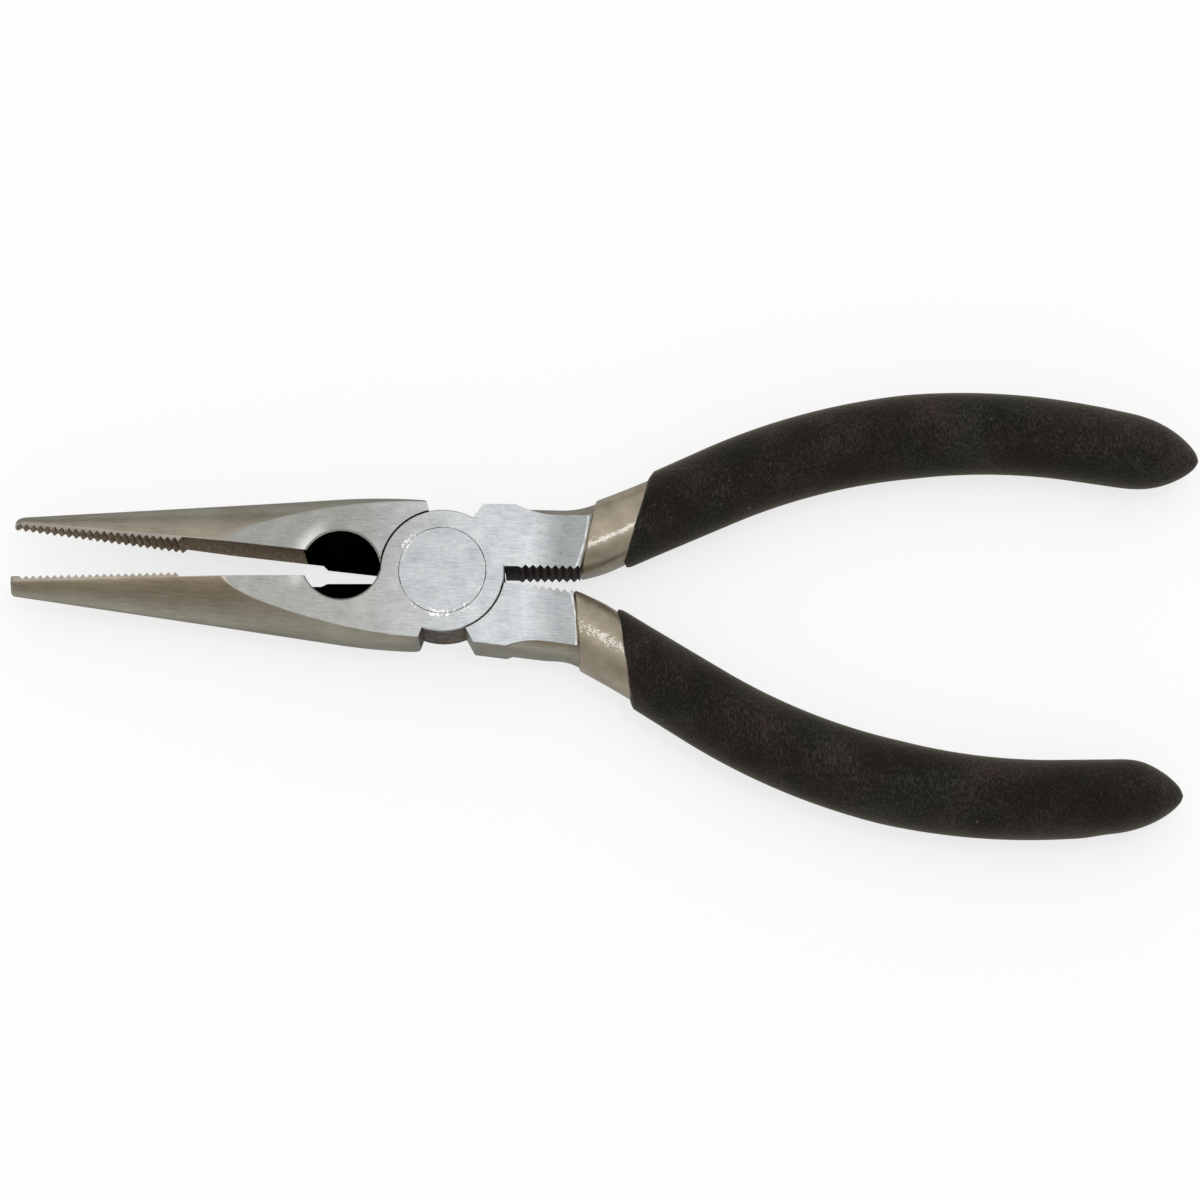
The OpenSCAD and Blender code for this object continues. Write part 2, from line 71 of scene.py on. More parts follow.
# Small forms that only the scene has: the forging draft along each neck, the lopsided noses of the
# grips, the close seam round the lap, the uneven edges of the dips and the peened rim of the rivet
FRONT_NECK_BULGE, BACK_NECK_BULGE, COAT_FULLNESS = 0.35, 0.65, 3.0
RISE_RUN, NECK_RISE, DISH_SINK = 3, 0.2, 0.01
NOSE_BLUNT, FRONT_NOSE_SKEW, BACK_NOSE_SKEW = 0.15, 0.35, 1.0
NOSE_SLIM, SLIM_START, SLIM_RUN = 0.08, 15.0, 5.5
NOSE_FULL, FULL_START, FULL_RUN = 0.12, 10.5, 6.0
SEAM_CLOSE, WELL_BREAK, WELL_UNDER, BLACK_LEAD, DISH_REACH = 0.15, 0.05, 0.03, 0.4, 10.0
SKEW_FADE, COAT_LIP, COAT_RIPPLE, FOAM_LIP, FOAM_RIPPLE = 20.0, 0.3, 0.05, 1.0, 0.06
RIM_LEAST, RIM_PEENED = 0.08, 0.09

# Where the finishes and the painted light change, in millimetres: below the ground flats, along the tool from
# the rivet, round the rivet, at the painted highlight line before each undercoat, at the painted highlight
# beside the recess and on worn edges
WASH_START, WASH_FULL, EDGE_GLINT_START, EDGE_GLINT_FULL = 0.3, 0.01, 0.08, 0.03
TIP_GLINT_START, TIP_GLINT_FULL, TOOTH_LIGHT_FULL, TOOTH_LIGHT_END = -22.0, -26.0, -58.0, -36.0
HOT_SPOT_EDGE, HOT_SPOT_FULL, NECK_DARK_START, NECK_DARK_FULL = -14.0, 3.0, 11.5, 16.0
BURR_R, BURR_W = 6.12, 0.5
COAT_GLINT_Y, COAT_GLINT_BOW, COAT_GLINT_BACK, COAT_GLINT_W, COAT_GLINT_CORE = 6.0, 0.022, 0.3, 0.2, 0.04
GLOW_W, GLOW_START, GLOW_FULL, GLOW_TOWARD = 2.4, 3.5, 6.2, (-0.93, 0.37, 0.0)
EDGE_WEAR = 0.08

# How finely the shapes are drawn, searched and welded, and from how many degrees a turn is left crisp
JAW_STEPS, ROUND_STEPS, CORNER_STEPS, HOLLOW_STEPS, TURNED_STEPS, RIVET_STEPS = 100, 56, 10, 24, 144, 240
TANG_STEPS, TANG_SIDES, DIP_SIDES, DIP_STEPS, LIP_STEPS = 150, 64, 96, 50, 8
COAT_STEPS, FOAM_STEPS, NOSE_STEPS = 140, 150, 40
TIP_SHARES, ROLL_TURNS = (0.0, 0.04, 0.12, 0.25, 0.45, 0.7), (0, 25, 50, 66, 80)
DIP_SEARCH, HALVINGS = 40.0, 24
WELD_REACH, STRAIGHT, STEEL_CRISP, DIP_CRISP = 0.0005, 0.001, 20, 60

HEAD_SLOPE = (RIVET_HEAD_R - RIVET_R) / RIVET_HEAD_H
LAND_R = RIVET_HEAD_R - HEAD_SLOPE * RIVET_LAND
S_TURN = TURN_START - LAP_R
DISH_LINE = math.radians(COAT_SLANT - REST_OPENING / 2)
RECESS_AT = Matrix.Rotation(math.radians(REST_OPENING / -2), 4, "Z") @ Vector((-RECESS_X, -RECESS_OFFSET, 0))
RECESS_AT = MM * (RECESS_AT + Vector((0, 0, 2 * HALF_T)))
S_COAT = S_TURN + TURN_R * math.asin((COAT_START - TURN_START) / TURN_R)
S_SHANK = S_TURN + TURN_R * math.radians(SHANK_ANGLE)
S_BOW = S_SHANK + SHANK_RUN
S_END = S_BOW + BOW_R * math.radians(SHANK_ANGLE + END_ANGLE)
S_TIP = S_END + END_RUN
S_TANG = S_TIP - TANG_SHORT


# Materials

def linear(colour):
    """A colour written as sRGB hex, as the linear value that the shaders take."""
    parts = [int(colour[i:i + 2], 16) / 255 for i in (1, 3, 5)]
    return tuple(c / 12.92 if c <= 0.04045 else ((c + 0.055) / 1.055) ** 2.4 for c in parts) + (1.0,)


def add(tree, kind, inputs=None, stops=(), **settings):
    """Adds a shader node. An input is a plain value, an output, or a node for the first output in use; a
    ramp's stops are places and colours."""
    made = tree.nodes.new("ShaderNode" + kind)
    for name, value in settings.items():
        setattr(made, name, value)
    for name, value in (inputs or {}).items():
        if isinstance(value, bpy.types.Node):
            value = next(output for output in value.outputs if not output.is_unavailable)
        if isinstance(value, bpy.types.NodeSocket):
            tree.links.new(value, made.inputs[name])
        else:
            made.inputs[name].default_value = value
    for k, (place, colour) in enumerate(stops):
        elements = made.color_ramp.elements
        element = elements[k] if k < len(elements) else elements.new(place)
        element.position = place
        element.color = linear(colour)
    return made


def new_material(name):
    made = bpy.data.materials.new(name)
    made.use_nodes = True
    made.node_tree.nodes.clear()
    return made, made.node_tree


def streaks(tree, where, x_mm, y_mm, z_mm, detail=3.0):
    """Noise drawn out into lines, with the sizes that they have along X, Y and Z."""
    stretched = add(tree, "VectorMath", {0: where, 1: (1000 / x_mm, 1000 / y_mm, 1000 / z_mm)},
                    operation="MULTIPLY")
    return add(tree, "TexNoise", {"Vector": stretched, "Scale": 1.0, "Detail": detail, "Roughness": 0.6})


def patches(tree, where, size_mm, detail=3.0):
    """Round noise whose patches are about size_mm across."""
    return add(tree, "TexNoise", {"Vector": where, "Scale": 1000 / size_mm, "Detail": detail,
                                  "Roughness": 0.55})


def rubbed_edge(tree, where, rounded):
    """How far an edge is rubbed bright: where the rounded normal leaves the face's own, in broken runs."""
    face = add(tree, "NewGeometry").outputs["Normal"]
    level = add(tree, "VectorMath", {0: rounded, 1: face}, operation="DOT_PRODUCT")
    edge = add(tree, "MapRange", {"Value": level, "From Min": 0.985, "From Max": 0.88})
    broken = add(tree, "MapRange", {"Value": patches(tree, where, 1.6, 2.0), "From Min": 0.4,
                                    "From Max": 0.62})
    return add(tree, "Math", {0: edge, 1: broken}, operation="MULTIPLY")


def plated_steel(name, dark, middle, light, metallic=1.0):
    """Forged carbon steel, linished lengthways and nickel plated: a warm satin sheen with long soft lines."""
    made, tree = new_material(name)
    where = add(tree, "TexCoord").outputs["Object"]
    lines = add(tree, "Mix", {"Factor": 0.5, "A": streaks(tree, where, 14, 0.35, 0.35),
                              "B": streaks(tree, where, 5, 0.1, 0.1)}, data_type="FLOAT")
    cloud = patches(tree, where, 9)
    tone = add(tree, "Mix", {"Factor": 0.35, "A": lines, "B": cloud}, data_type="FLOAT")
    colour = add(tree, "ValToRGB", {"Fac": tone}, stops=((0.35, dark), (0.5, middle), (0.65, light)))

    # Painted reflection: the tops of the rounds, where they face up, are painted a little browner than their
    # sides, most on the front half's jaw, in place of the warm surroundings that they reflect
    place = add(tree, "SeparateXYZ", {"Vector": where})
    front_jaw = add(tree, "MapRange", {"Value": place.outputs["Y"], "From Min": 0.0, "From Max": -MM})
    painted_warmth_reach = add(tree, "MapRange", {"Value": front_jaw, "To Min": 0.45})
    facing = add(tree, "SeparateXYZ", {"Vector": add(tree, "NewGeometry").outputs["Normal"]})
    painted_warm_reflection = add(tree, "Math", {0: facing.outputs["Z"]}, operation="ABSOLUTE")
    painted_warm_reflection = add(tree, "MapRange", {"Value": painted_warm_reflection, "From Min": 0.7, "From Max": 0.93, "To Max": painted_warmth_reach})
    tint = add(tree, "Mix", {"Factor": painted_warm_reflection, "A": linear("#f4faff"), "B": linear("#f5eee6")},
               data_type="RGBA")
    colour = add(tree, "Mix", {"Factor": 1.0, "A": colour, "B": tint}, data_type="RGBA",
                 blend_type="MULTIPLY")

    # Beside the ground flats the belt has washed over the back half's jaw; on the front half's jaw, towards
    # the tip, a light line is painted along the flat's edge as a highlight
    height = add(tree, "Math", {0: place.outputs["Z"], 1: HALF_T * MM}, operation="SUBTRACT")
    height = add(tree, "Math", {0: height}, operation="ABSOLUTE")
    back_jaw = add(tree, "Math", {0: place.outputs["Y"], 1: 0.0}, operation="GREATER_THAN")
    wash = add(tree, "MapRange", {"Value": height, "From Min": (HALF_T - WASH_START) * MM,
                                  "From Max": (HALF_T - WASH_FULL) * MM, "To Max": 0.75})
    wash = add(tree, "Math", {0: wash, 1: back_jaw}, operation="MULTIPLY")
    colour = add(tree, "Mix", {"Factor": wash, "A": colour, "B": linear("#9b9a92")}, data_type="RGBA")
    edge_glint = add(tree, "MapRange", {"Value": height, "From Min": (HALF_T - EDGE_GLINT_START) * MM,
                                 "From Max": (HALF_T - EDGE_GLINT_FULL) * MM})
    at_tip = add(tree, "MapRange", {"Value": place.outputs["X"], "From Min": TIP_GLINT_START * MM,
                                    "From Max": TIP_GLINT_FULL * MM})
    edge_glint = add(tree, "Math", {0: edge_glint, 1: front_jaw}, operation="MULTIPLY")
    edge_glint = add(tree, "Math", {0: edge_glint, 1: at_tip}, operation="MULTIPLY")
    scratch = add(tree, "MapRange", {"Value": streaks(tree, where, 16, 0.3, 0.3, 1.0), "From Min": 0.7,
                                     "From Max": 0.76, "To Max": 0.3})
    worn = add(tree, "Bevel", {"Radius": EDGE_WEAR * MM}, samples=4)
    # The painted highlight line is mixed in with real scratches and worn edges, all to one light colour
    bright = add(tree, "Math", {0: edge_glint, 1: scratch}, operation="MAXIMUM")
    bright = add(tree, "Math", {0: bright, 1: rubbed_edge(tree, where, worn)}, operation="MAXIMUM")
    colour = add(tree, "Mix", {"Factor": bright, "A": colour, "B": linear("#cdc8bb")}, data_type="RGBA")
    rough = add(tree, "MapRange", {"Value": lines, "To Min": 0.32, "To Max": 0.46})
    bump = add(tree, "Bump", {"Height": lines, "Strength": 0.3, "Distance": 0.02 * MM, "Normal": worn})
    shader = add(tree, "BsdfPrincipled", {"Base Color": colour, "Metallic": metallic,
                                          "Specular Tint": linear("#b9bcbe"), "Roughness": rough,
                                          "Normal": bump})
    add(tree, "OutputMaterial", {"Surface": shader})
    return made


def broached_steel():
    """Steel as the broach left it on the gripping faces: brown and torn, with short lines across."""
    made, tree = new_material("steel_as_broached")
    where = add(tree, "TexCoord").outputs["Object"]
    lines = streaks(tree, where, 0.22, 0.22, 2.0)
    torn = patches(tree, where, 0.45)
    tone = add(tree, "Mix", {"Factor": 0.5, "A": lines, "B": torn}, data_type="FLOAT")
    colour = add(tree, "ValToRGB", {"Fac": tone}, stops=((0.36, "#352f28"), (0.5, "#574f46"),
                                                         (0.64, "#857c70")))
    # The teeth are made lighter towards the tips
    place = add(tree, "SeparateXYZ", {"Vector": where})
    rubbed = add(tree, "MapRange", {"Value": place.outputs["X"], "From Min": TOOTH_LIGHT_FULL * MM,
                                    "From Max": TOOTH_LIGHT_END * MM, "To Min": 1.7, "To Max": 0.95})
    colour = add(tree, "Mix", {"Factor": 1.0, "A": colour, "B": rubbed}, data_type="RGBA",
                 blend_type="MULTIPLY")
    bump = add(tree, "Bump", {"Height": tone, "Strength": 0.5, "Distance": 0.06 * MM})
    shader = add(tree, "BsdfPrincipled", {"Base Color": colour, "Metallic": 1.0, "Roughness": 0.5,
                                          "Specular Tint": linear("#dcd0c0"), "Normal": bump})
    add(tree, "OutputMaterial", {"Surface": shader})
    return made


def ground_steel(name, dull, bright):
    """Steel ground flat on a fine belt along the jaws: bright, with short grinding lines and a few pits."""
    made, tree = new_material(name)
    where = add(tree, "TexCoord").outputs["Object"]
    lines = streaks(tree, where, 2.6, 0.2, 0.2)
    fine = streaks(tree, where, 0.9, 0.11, 0.11, 2.0)
    both = add(tree, "Mix", {"Factor": 0.45, "A": lines, "B": fine}, data_type="FLOAT")
    both = add(tree, "Mix", {"Factor": 0.3, "A": both, "B": patches(tree, where, 2.2)}, data_type="FLOAT")
    # Painted hot spot of a lamp's reflection: the flats are painted brighter towards the cheeks and the
    # rivet, and duller out along the jaws, the back half's jaw the dullest
    place = add(tree, "SeparateXYZ", {"Vector": where})
    cheek = add(tree, "MapRange", {"Value": place.outputs["X"], "From Min": HOT_SPOT_EDGE * MM,
                                   "From Max": HOT_SPOT_FULL * MM})
    hot_spot_falloff = add(tree, "MapRange", {"Value": place.outputs["Y"], "From Min": -MM, "From Max": MM,
                                    "To Min": 1.0, "To Max": 0.84})
    hot_spot_falloff = add(tree, "MapRange", {"Value": cheek, "To Min": hot_spot_falloff, "To Max": 1.0})
    low = add(tree, "ValToRGB", {"Fac": both}, stops=((0.34, dull[0]), (0.66, dull[1])))
    high = add(tree, "ValToRGB", {"Fac": both}, stops=((0.34, bright[0]), (0.66, bright[1])))
    colour = add(tree, "Mix", {"Factor": cheek, "A": low, "B": high}, data_type="RGBA")
    # Pits, and the dished necks made darker, the front half's the most
    pits = patches(tree, where, 0.5, 2.0)
    speck = add(tree, "MapRange", {"Value": pits, "From Min": 0.66, "From Max": 0.74, "To Min": 1.0,
                                   "To Max": 0.7})
    neck_darkening_depth = add(tree, "MapRange", {"Value": place.outputs["Y"], "From Min": -3 * MM, "From Max": 3 * MM,
                                     "To Min": 0.62, "To Max": 0.5})
    neck = add(tree, "MapRange", {"Value": place.outputs["X"], "From Min": NECK_DARK_START * MM,
                                  "From Max": NECK_DARK_FULL * MM, "To Min": 1.0, "To Max": neck_darkening_depth})
    shadow = add(tree, "Math", {0: speck, 1: neck}, operation="MULTIPLY")
    shadow = add(tree, "Math", {0: shadow, 1: hot_spot_falloff}, operation="MULTIPLY")
    toned = add(tree, "Mix", {"Factor": 1.0, "A": colour, "B": shadow}, data_type="RGBA",
                blend_type="MULTIPLY")
    # Burrs of the peened rim, left bright round the rivet
    radius = add(tree, "VectorMath", {0: where, 1: (1.0, 1.0, 0.0)}, operation="MULTIPLY")
    radius = add(tree, "VectorMath", {0: radius}, operation="LENGTH")
    ring = add(tree, "Math", {0: radius, 1: BURR_R * MM, 2: BURR_W * MM}, operation="COMPARE")
    clump = patches(tree, where, 2.4, 1.0)
    flake = patches(tree, where, 0.32, 1.0)
    burr = add(tree, "Math", {0: clump, 1: flake}, operation="ADD")
    burr = add(tree, "MapRange", {"Value": burr, "From Min": 1.2, "From Max": 1.26})
    burr = add(tree, "Math", {0: burr, 1: ring}, operation="MULTIPLY")
    # A thin painted highlight line, bowed towards the handle, on the ground neck just before each undercoat
    across = add(tree, "Math", {0: place.outputs["Y"]}, operation="ABSOLUTE")
    bow = add(tree, "Math", {0: across, 1: COAT_GLINT_Y * MM}, operation="SUBTRACT")
    bow = add(tree, "Math", {0: bow, 1: bow}, operation="MULTIPLY")
    out = add(tree, "Math", {0: across, 1: -math.sin(DISH_LINE), 2: place.outputs["X"]},
              operation="MULTIPLY_ADD")
    out = add(tree, "Math", {0: bow, 1: COAT_GLINT_BOW / MM, 2: out}, operation="MULTIPLY_ADD")
    dish_end = COAT_START - NECK_Y * math.sin(math.radians(COAT_SLANT)) - COAT_GLINT_BACK
    line = add(tree, "MapRange", {"Value": place.outputs["Y"], "From Min": -MM, "From Max": MM,
                                  "To Min": (dish_end - BACK_DIP_LEAD) * MM, "To Max": dish_end * MM})
    line = add(tree, "Math", {0: out, 1: line}, operation="SUBTRACT")
    line = add(tree, "Math", {0: line}, operation="ABSOLUTE")
    line = add(tree, "MapRange", {"Value": line, "From Min": COAT_GLINT_W * MM,
                                  "From Max": COAT_GLINT_CORE * MM})
    glint_share = add(tree, "MapRange", {"Value": patches(tree, where, 1.2, 2.0), "From Min": 0.35,
                                       "From Max": 0.62, "To Min": 0.1, "To Max": 0.6})
    line = add(tree, "Math", {0: line, 1: glint_share}, operation="MULTIPLY")
    # Painted highlight: the flats of the jaws are painted bright beside the recess, on its side towards the
    # tips
    off = add(tree, "VectorMath", {0: where, 1: RECESS_AT}, operation="SUBTRACT")
    rim = add(tree, "VectorMath", {0: off}, operation="LENGTH")
    rim = add(tree, "MapRange", {"Value": rim, "From Min": (RECESS_R + GLOW_W) * MM,
                                 "From Max": RECESS_R * MM}, interpolation_type="SMOOTHSTEP")
    tipward = add(tree, "VectorMath", {0: off, 1: GLOW_TOWARD}, operation="DOT_PRODUCT")
    tipward = add(tree, "MapRange", {"Value": tipward, "From Min": GLOW_START * MM,
                                     "From Max": GLOW_FULL * MM, "To Max": 0.7},
                  interpolation_type="SMOOTHSTEP")
    glow = add(tree, "Math", {0: rim, 1: tipward}, operation="MULTIPLY")
    worn = add(tree, "Bevel", {"Radius": EDGE_WEAR * MM}, samples=4)
    # Burrs and worn edges are real; the line before the undercoat and the glow beside the recess are painted
    # highlights
    wear_and_glints = add(tree, "Math", {0: burr, 1: rubbed_edge(tree, where, worn)}, operation="MAXIMUM")
    wear_and_glints = add(tree, "Math", {0: wear_and_glints, 1: line}, operation="MAXIMUM")
    wear_and_glints = add(tree, "Math", {0: wear_and_glints, 1: glow}, operation="MAXIMUM")
    final = add(tree, "Mix", {"Factor": wear_and_glints, "A": toned, "B": linear("#e8e8e4")}, data_type="RGBA")
    rough = add(tree, "MapRange", {"Value": both, "To Min": 0.32, "To Max": 0.5})
    bump = add(tree, "Bump", {"Height": both, "Strength": 0.4, "Distance": 0.03 * MM, "Normal": worn})
    shader = add(tree, "BsdfPrincipled", {"Base Color": final, "Metallic": 1.0, "Roughness": rough,
                                          "Normal": bump})
    add(tree, "OutputMaterial", {"Surface": shader})
    return made


def oxide_steel(name, dark, light, specular):
    """Steel left with its hardening scale, where no belt reaches: dry, and black to dull brown; in the cutter
    and the crimper its darkness is partly painted shade.
    """
    made, tree = new_material(name)
    where = add(tree, "TexCoord").outputs["Object"]
    grain = add(tree, "Mix", {"Factor": 0.5, "A": patches(tree, where, 0.8),
                              "B": patches(tree, where, 3.2)}, data_type="FLOAT")
    colour = add(tree, "ValToRGB", {"Fac": grain}, stops=((0.38, dark), (0.64, light)))
    bump = add(tree, "Bump", {"Height": grain, "Strength": 0.3, "Distance": 0.04 * MM})
    shader = add(tree, "BsdfPrincipled", {"Base Color": colour, "Roughness": 0.7, "Normal": bump,
                                          "Specular IOR Level": specular})
    add(tree, "OutputMaterial", {"Surface": shader})
    return made


def bonding_primer():
    """Tan bonding primer with aluminium flake, dipped and left to run: a thin glossy skin with soft sags."""
    made, tree = new_material("bonding_primer_dipped")
    where = add(tree, "TexCoord").outputs["Object"]
    sags = patches(tree, where, 2.6, 2.0)
    orange_peel = patches(tree, where, 0.55, 2.0)
    colour = add(tree, "ValToRGB", {"Fac": sags}, stops=((0.3, "#857a67"), (0.6, "#968b76"),
                                                         (0.8, "#a29884")))
    height = add(tree, "Mix", {"Factor": 0.26, "A": sags, "B": orange_peel}, data_type="FLOAT")
    bump = add(tree, "Bump", {"Height": height, "Strength": 1.0, "Distance": 0.07 * MM})
    shader = add(tree, "BsdfPrincipled", {"Base Color": colour, "Roughness": 0.45, "Metallic": 0.7,
                                          "Specular Tint": linear("#8c8c8c"), "Coat Weight": 0.3,
                                          "Coat IOR": 2.2, "Coat Roughness": 0.1, "Normal": bump,
                                          "Coat Normal": bump})
    add(tree, "OutputMaterial", {"Surface": shader})
    return made


def foamed_vinyl():
    """Black foamed vinyl, dipped: a dry felt-like skin of broken cells with a few pale flecks of dust."""
    made, tree = new_material("foamed_vinyl_dipped")
    where = add(tree, "TexCoord").outputs["Object"]
    cells = add(tree, "TexVoronoi", {"Vector": where, "Scale": 1000 / 0.45})
    fuzz = streaks(tree, where, 0.22, 0.6, 0.22, 3.0)
    cloud = patches(tree, where, 7)
    dust = patches(tree, where, 0.8, 1.0)
    tone = add(tree, "Mix", {"Factor": 0.65, "A": cloud, "B": fuzz}, data_type="FLOAT")
    brown = add(tree, "ValToRGB", {"Fac": tone}, stops=((0.36, "#120e0d"), (0.5, "#211a18"),
                                                        (0.64, "#40342f")))
    olive = add(tree, "ValToRGB", {"Fac": tone}, stops=((0.36, "#0f0e0c"), (0.5, "#1c1a17"),
                                                        (0.64, "#393630")))
    turn = add(tree, "MapRange", {"Value": patches(tree, where, 11, 1.0), "From Min": 0.4, "From Max": 0.6})
    black = add(tree, "Mix", {"Factor": turn, "A": brown, "B": olive}, data_type="RGBA")
    fleck = add(tree, "MapRange", {"Value": dust, "From Min": 0.76, "From Max": 0.84})
    colour = add(tree, "Mix", {"Factor": fleck, "A": black, "B": linear("#57504a")}, data_type="RGBA")
    height = add(tree, "Mix", {"Factor": 0.5, "A": cells, "B": fuzz}, data_type="FLOAT")
    bump = add(tree, "Bump", {"Height": height, "Strength": 0.55, "Distance": 0.18 * MM})
    shader = add(tree, "BsdfPrincipled", {"Base Color": colour, "Roughness": 0.9,
                                          "Specular IOR Level": 0.12, "Sheen Weight": 1.0,
                                          "Sheen Tint": linear("#9f998b"), "Sheen Roughness": 0.45,
                                          "Normal": bump})
    add(tree, "OutputMaterial", {"Surface": shader})
    return made


PLATED, GROUND, BLACK, DARK, INNER, SCALE, RUBBED_HIGHLIT = range(7)
STEEL = [plated_steel("nickel_plated_steel_linished", "#82796b", "#968e7e", "#a69e8f"),
         ground_steel("steel_ground_flat", ("#878782", "#b0b0ab"), ("#9b9ea0", "#cfd2d3")),
         # In the cutter the scale is painted near black with no gloss, as painted shade deep in the recess
         oxide_steel("hardening_scale_and_painted_shade_in_cutter", "#040302", "#0a0706", 0.0),
         # In the crimper the scale is darkened, partly as painted shade in the crimping gap
         oxide_steel("hardening_scale_and_painted_shade_in_crimper", "#2a2015", "#45382a", 0.12),
         broached_steel(),
         oxide_steel("hardening_scale_on_lap", "#2c251f", "#6e6358", 0.2),
         # The rubbed plated steel is painted lighter, as a highlight on the jaws' rolled edges and the recess
         # rim
         plated_steel("nickel_plated_steel_rubbed_and_painted_highlight", "#a09a8f", "#b1aca3", "#c2beb6", 0.6)]
RIVET_STEEL = ground_steel("rivet_steel_ground_flush", ("#989b9d", "#c9cccd"), ("#989b9d", "#cbcecf"))
PRIMER = bonding_primer()
VINYL = foamed_vinyl()


# Shapes along the handle and the jaw

def along(s, *stops):
    """The value at s on straight lines between stops of place and value."""
    for (s0, v0), (s1, v1) in zip(stops, stops[1:]):
        if s <= s1:
            return v0 + (v1 - v0) * max(0.0, (s - s0) / (s1 - s0))
    return stops[-1][1]


def eased(share):
    """A share from 0 to 1 that starts and ends gently."""
    share = min(1.0, max(0.0, share))
    return share * share * (3 - 2 * share)


def handle_angle(s):
    if s < S_TURN:
        return 0.0
    if s < S_SHANK:
        return (s - S_TURN) / TURN_R
    if s < S_BOW:
        return math.radians(SHANK_ANGLE)
    return max(math.radians(SHANK_ANGLE) - (s - S_BOW) / BOW_R, math.radians(-END_ANGLE))


def handle_point(s):
    a, full, end = handle_angle(s), math.radians(SHANK_ANGLE), math.radians(-END_ANGLE)
    if s < S_TURN:
        return Vector((LAP_R + s, NECK_Y))
    if s < S_SHANK:
        return Vector((TURN_START + TURN_R * math.sin(a), NECK_Y + TURN_R * (1 - math.cos(a))))
    shank = Vector((TURN_START + TURN_R * math.sin(full), NECK_Y + TURN_R * (1 - math.cos(full))))
    if s < S_BOW:
        return shank + (s - S_SHANK) * Vector((math.cos(full), math.sin(full)))
    bow = shank + SHANK_RUN * Vector((math.cos(full), math.sin(full)))
    bowed = bow + BOW_R * Vector((math.sin(full) - math.sin(a), math.cos(a) - math.cos(full)))
    return bowed + max(0.0, s - S_END) * Vector((math.cos(end), math.sin(end)))


def tang_half_w(s, bulge):
    return along(s, (S_TURN, NECK_W / 2 + bulge), (S_COAT, SHANK_W / 2), (LIP_S, SHANK_LIP_W / 2),
                 (S_TANG, TANG_END_W / 2))


def tang_half_t(s):
    return along(s, (S_TURN - RISE_RUN, HALF_T + NECK_RISE),
                 (S_COAT - BACK_DIP_LEAD, HALF_T - DISH_DEPTH - DISH_SINK), (LIP_S, SHANK_LIP_T / 2),
                 (S_TANG, TANG_END_T / 2))


def tang_fullness(s, bulge):
    return along(s, (S_TURN, NECK_FULLNESS + 2 * bulge), (S_COAT, COAT_FULLNESS), (LIP_S, LIP_FULLNESS),
                 (S_TANG, TANG_FULLNESS))


def nose_share(s):
    """How much of its full size the grip has at s, where its nose rounds off."""
    left = max(0.0, S_TIP - s)
    u, end = min(1.0, (left + NOSE_BLUNT) / (NOSE_LEN + NOSE_BLUNT)), min(1.0, left / NOSE_ROUND)
    return (1 - (1 - u) ** 2) ** (1 / NOSE_POWER) * math.sqrt(1 - (1 - end) ** 2)


def grip_half_w(s):
    return nose_share(s) * along(s, (LIP_S, GRIP_LIP_W / 2), ((LIP_S + S_TIP) / 2, GRIP_W / 2),
                                 (S_TIP - NOSE_LEN, GRIP_END_W / 2))


def grip_half_t(s):
    return nose_share(s) * GRIP_T / 2


def jaw_depth(d, tip):
    slope = (JAW_ROOT - tip) / (JAW_LEN - TAPER_REACH)
    blend = TAPER_BLEND * math.tan(math.atan(slope) / 2)
    if d > TAPER_REACH + blend:
        return tip + (JAW_LEN - d) * slope
    if d < TAPER_REACH - blend:
        return JAW_ROOT
    return JAW_ROOT - TAPER_BLEND + math.sqrt(TAPER_BLEND ** 2 - (d - TAPER_REACH + blend) ** 2)


def jaw_half_t(d):
    return (TIP_T / 2 + (HALF_T - TIP_T / 2) * (JAW_LEN - d) / (JAW_LEN - CHEEK_START)
            + CHEEK_SWELL * max(0.0, CHEEK_START - d) ** 1.5)


def tip_share(d, rounding):
    """How much of its full size the jaw has at d, where its tip rounds off."""
    u = min(1.0, (JAW_LEN - d) / rounding)
    return 1 - rounding / 3 * (1 - math.sqrt(1 - (1 - u) ** 2))


def oval(turn, fullness):
    """A place on a unit oval, which is round at a fullness of 2 and squarer above it."""
    c, s = math.cos(turn), math.sin(turn)
    return (math.copysign(abs(c) ** (2 / fullness), c), math.copysign(abs(s) ** (2 / fullness), s))


def bearing(degrees):
    """The direction that leans by some degrees from +y towards +x."""
    return Vector((math.sin(math.radians(degrees)), math.cos(math.radians(degrees))))


def on_handle(s, across, up):
    """The place that lies across and up from the handle's middle line at s."""
    p, a = handle_point(s), handle_angle(s)
    return (p.x - across * math.sin(a), p.y + across * math.cos(a), up)


# Making solids

def solid(name, places, faces, finishes, materials=STEEL):
    """A closed mesh piece in millimetres, with one finish number per face."""
    mesh = bpy.data.meshes.new(name)
    mesh.from_pydata(places, [], faces)
    for material in materials:
        mesh.materials.append(material)
    mesh.polygons.foreach_set("material_index", finishes)
    shape = bmesh.new()
    shape.from_mesh(mesh)
    bmesh.ops.recalc_face_normals(shape, faces=shape.faces)
    shape.to_mesh(mesh)
    shape.free()
    piece = bpy.data.objects.new(name, mesh)
    bpy.context.scene.collection.objects.link(piece)
    return piece


